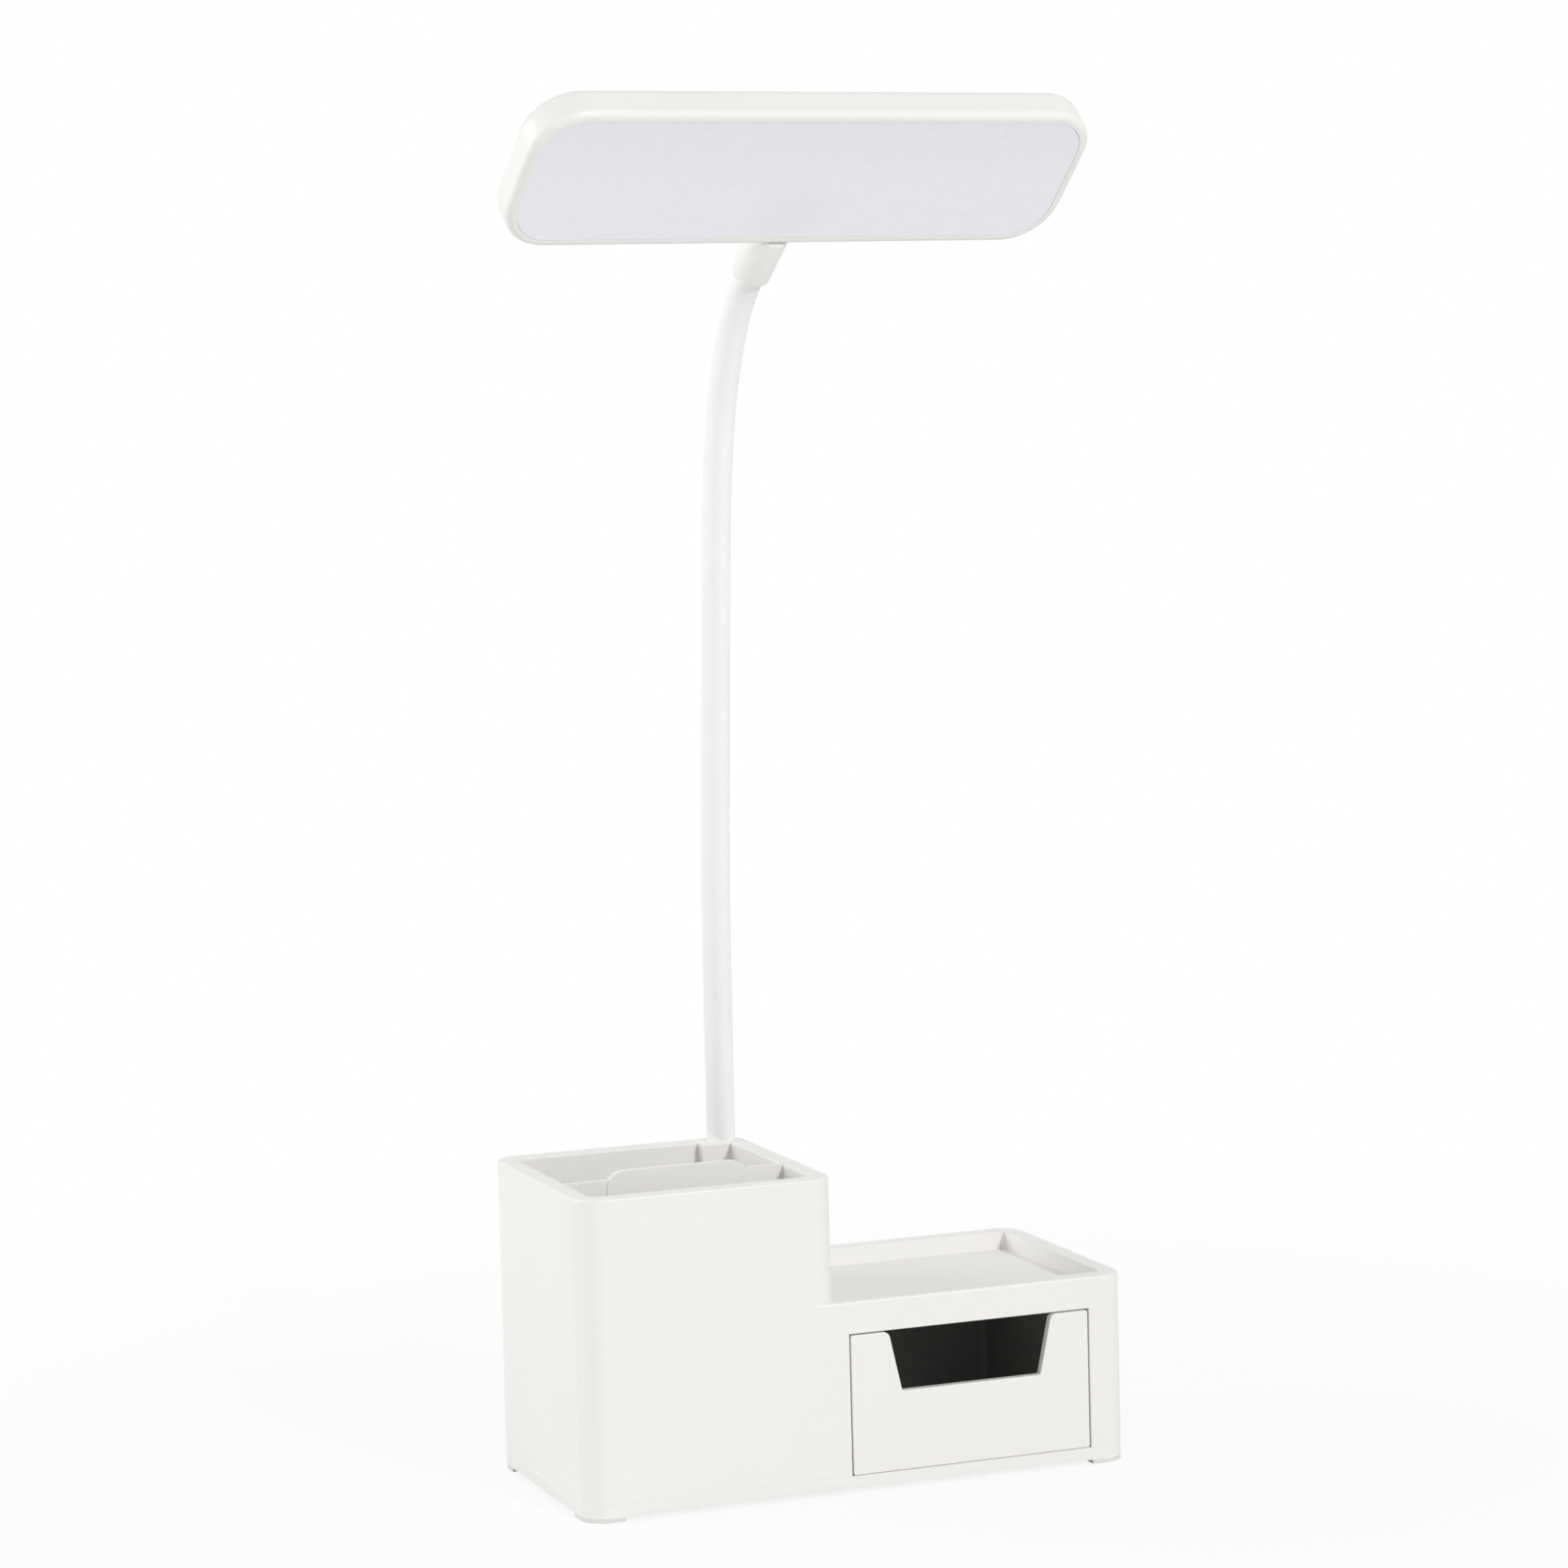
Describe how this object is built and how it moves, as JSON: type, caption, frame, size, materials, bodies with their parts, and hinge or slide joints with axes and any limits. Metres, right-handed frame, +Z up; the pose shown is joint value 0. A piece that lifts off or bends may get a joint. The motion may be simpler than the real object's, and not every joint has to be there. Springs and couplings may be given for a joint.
{
  "type": "desk lamp with drawer base",
  "caption": "Desk lamp with a flat panel head on a bendable neck, over a stepped base that holds a pen cup, an open tray and a small drawer.",
  "frame": {"origin": "Centre of the base's outline on the desk: z = 0 is the plane of the undersides of the rubber feet, 1.3 mm below the bottom plate (mount stand_centre lies at that point). The head and the rear button reach past the base's outline, so it is not the centre of the whole box.", "axes": "+Z is up. -Y faces the user: the drawer opens and the head leans towards -Y. +X is the user's right, the side of the tray and drawer."},
  "size_m": [0.1961, 0.1103, 0.4378],
  "materials": {
    "white_plastic": "satin moulded white ABS",
    "charcoal_plastic": "matt moulded charcoal ABS",
    "foot_rubber": "soft, slightly clear pale rubber",
    "screw_steel": "zinc plated screw steel",
    "raw_steel": "oiled mild steel",
    "bright_steel": "nickel plated steel",
    "core_steel": "wound spring steel",
    "head_aluminium": "plain sheet",
    "cell_wrap": null,
    "board_green": "solder masked glass fibre board",
    "switch_black": "matt black moulding",
    "wire_white": "flexible white insulation",
    "neck_silicone": "matt white silicone sleeve",
    "diffuser_acrylic": "opal acrylic with a fine frosted face",
    "guide_acrylic": "clear acrylic light guide",
    "reflector_white": "white reflecting film",
    "strip_white": "white board strip",
    "led_phosphor": "yellow phosphor gel",
    "washer_nylon": "natural nylon"
  },
  "bodies": {
    "base": {"base_shell": "white_plastic", "bottom_plate": "white_plastic", "rubber_feet": "foot_rubber", "plate_screws": "screw_steel", "counterweight": "raw_steel", "battery_cell": "cell_wrap", "control_board": "board_green", "usb_inlet": "bright_steel", "tactile_switch": "switch_black", "base_lead": "wire_white", "neck_ferrule": "bright_steel", "neck_clip": "bright_steel", "neck_sleeve_0": "neck_silicone", "neck_core_0": "core_steel"},
    "drawer": {"drawer_front": "white_plastic", "drawer_tub": "charcoal_plastic"},
    "divider": {"pen_divider": "white_plastic"},
    "button": {"power_button": "white_plastic"},
    "neck_1": {"neck_sleeve_1": "neck_silicone", "neck_core_1": "core_steel"},
    "neck_2": {"neck_sleeve_2": "neck_silicone", "neck_core_2": "core_steel"},
    "neck_3": {"neck_sleeve_3": "neck_silicone", "neck_core_3": "core_steel"},
    "neck_4": {"neck_sleeve_4": "neck_silicone", "neck_core_4": "core_steel"},
    "neck_5": {"neck_sleeve_5": "neck_silicone", "neck_core_5": "core_steel"},
    "neck_6": {"neck_sleeve_6": "neck_silicone", "neck_core_6": "core_steel"},
    "neck_7": {"neck_sleeve_7": "neck_silicone", "neck_core_7": "core_steel"},
    "neck_8": {"neck_sleeve_8": "neck_silicone", "neck_core_8": "core_steel", "neck_collar": "white_plastic"},
    "head": {"head_housing": "white_plastic", "head_bezel": "white_plastic", "diffuser": "diffuser_acrylic", "light_guide": "guide_acrylic", "reflector_sheet": "reflector_white", "backing_plate": "head_aluminium", "head_screws": "screw_steel", "led_strip": "strip_white", "led_chips": "led_phosphor", "swivel_tube": "bright_steel", "friction_washer": "washer_nylon", "swivel_nut": "bright_steel", "head_lead": "wire_white"}
  },
  "joints": [
    {"name": "drawer_slide", "type": "slide", "parent": "base", "child": "drawer", "axis": [0, -1, 0], "range_m": [0, 0.066]},
    {"name": "divider_lift", "type": "slide", "parent": "base", "child": "divider", "axis": [0, 0, 1], "range_m": [0, 0.07]},
    {"name": "button_press", "type": "slide", "parent": "base", "child": "button", "axis": [0, -1, 0], "range_m": [0, 0.0006], "stiffness_N_per_m": 1500},
    {"name": "neck_bend_1", "type": "hinge", "parent": "base", "child": "neck_1", "pos_m": [-0.01474, 0.03868, 0.1153], "axis": [0.9943, 0.1063, 0], "range_deg": [-18, 18]},
    {"name": "neck_sway_2", "type": "hinge", "parent": "neck_1", "child": "neck_2", "pos_m": [-0.0147, 0.0383, 0.1513], "axis": [-0.1063, 0.9943, 0.0105], "range_deg": [-15, 15]},
    {"name": "neck_bend_3", "type": "hinge", "parent": "neck_2", "child": "neck_3", "pos_m": [-0.01461, 0.03749, 0.18729], "axis": [0.9943, 0.1063, 0], "range_deg": [-18, 18]},
    {"name": "neck_sway_4", "type": "hinge", "parent": "neck_3", "child": "neck_4", "pos_m": [-0.01442, 0.03562, 0.22324], "axis": [-0.106, 0.9919, 0.0698], "range_deg": [-15, 15]},
    {"name": "neck_bend_5", "type": "hinge", "parent": "neck_4", "child": "neck_5", "pos_m": [-0.01415, 0.03312, 0.25915], "axis": [0.9943, 0.1063, 0], "range_deg": [-18, 18]},
    {"name": "neck_sway_6", "type": "hinge", "parent": "neck_5", "child": "neck_6", "pos_m": [-0.01388, 0.03062, 0.29506], "axis": [-0.106, 0.9919, 0.0698], "range_deg": [-15, 15]},
    {"name": "neck_bend_7", "type": "hinge", "parent": "neck_6", "child": "neck_7", "pos_m": [-0.01342, 0.02632, 0.33078], "axis": [0.9943, 0.1063, 0], "range_deg": [-18, 18]},
    {"name": "neck_sway_8", "type": "hinge", "parent": "neck_7", "child": "neck_8", "pos_m": [-0.01226, 0.01542, 0.36495], "axis": [-0.0957, 0.8952, 0.4352], "range_deg": [-15, 15]},
    {"name": "head_swivel", "type": "hinge", "parent": "neck_8", "child": "head", "pos_m": [-0.00922, -0.01297, 0.39718], "axis": [0.0772, -0.7225, 0.6871], "range_deg": [-90, 90]}
  ],
  "couplings": [
    {"joint": "neck_bend_3", "follows": "neck_bend_1", "ratio": 1},
    {"joint": "neck_bend_5", "follows": "neck_bend_1", "ratio": 1},
    {"joint": "neck_bend_7", "follows": "neck_bend_1", "ratio": 1},
    {"joint": "neck_sway_4", "follows": "neck_sway_2", "ratio": 1},
    {"joint": "neck_sway_6", "follows": "neck_sway_2", "ratio": 1},
    {"joint": "neck_sway_8", "follows": "neck_sway_2", "ratio": 1}
  ]
}
